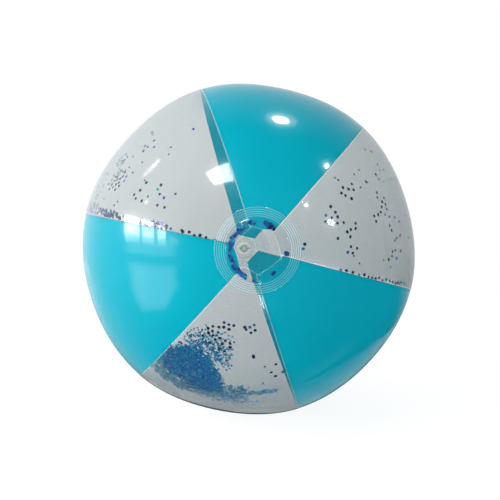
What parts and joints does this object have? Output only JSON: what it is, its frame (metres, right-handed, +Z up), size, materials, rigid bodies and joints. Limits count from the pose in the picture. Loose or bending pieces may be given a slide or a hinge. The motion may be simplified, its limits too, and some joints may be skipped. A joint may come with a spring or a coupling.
{
  "type": "inflatable beach ball",
  "caption": "Inflated six-panel film ball with alternate clear and teal gores, an end disc at each pole, a push-in inflation valve and loose glitter inside.",
  "frame": {"origin": "the ball's centre", "axes": "+Y along the polar axis, from the plain end disc at the front towards the end disc with the inflation valve; +Z up"},
  "size_m": [0.3995, 0.4029, 0.3997],
  "materials": {
    "teal_film": "translucent glossy vinyl film",
    "clear_film": "clear glossy vinyl film",
    "valve_vinyl": "clear soft moulded vinyl",
    "glitter_blue": "metallised foil",
    "glitter_navy": "metallised foil",
    "glitter_green": "metallised foil",
    "glitter_violet": "metallised foil",
    "glitter_aqua": "metallised foil",
    "glitter_silver": "metallised foil"
  },
  "bodies": {
    "skin": {"teal_panel_top": "teal_film", "teal_panel_lower_left": "teal_film", "teal_panel_lower_right": "teal_film", "clear_panel_right": "clear_film", "clear_panel_upper_left": "clear_film", "clear_panel_bottom": "clear_film", "front_end_disc": "clear_film", "rear_end_disc": "clear_film", "valve_flange": "valve_vinyl", "valve_sock": "valve_vinyl", "clinging_glitter_blue": "glitter_blue", "clinging_glitter_navy": "glitter_navy", "clinging_glitter_green": "glitter_green", "clinging_glitter_violet": "glitter_violet", "pocket_glitter": "glitter_navy"},
    "stem": {"valve_stem": "valve_vinyl"},
    "plug": {"valve_plug": "valve_vinyl", "plug_strap": "valve_vinyl"},
    "flap": {"check_flap": "valve_vinyl"},
    "loose_glitter": {"glitter_drift_blue": "glitter_blue", "glitter_drift_aqua": "glitter_aqua", "glitter_drift_silver": "glitter_silver"}
  },
  "joints": [
    {"name": "stem_slide", "type": "slide", "parent": "skin", "child": "stem", "axis": [0, 1, 0], "range_m": [0, 0.014], "deforming": ["valve_sock"]},
    {"name": "plug_hinge", "type": "hinge", "parent": "stem", "child": "plug", "pos_m": [0.009, 0.20025, 0], "axis": [0, 0, -1], "range_deg": [0, 150], "deforming": ["plug_strap"]},
    {"name": "flap_hinge", "type": "hinge", "parent": "stem", "child": "flap", "pos_m": [0.0046, 0.18415, 0], "axis": [0, 0, 1], "range_deg": [0, 60], "stiffness_Nm_per_rad": 0.0001},
    {"name": "glitter_roll", "type": "hinge", "parent": "skin", "child": "loose_glitter", "pos_m": [0, 0, 0], "axis": [0, 1, 0], "continuous": true}
  ]
}
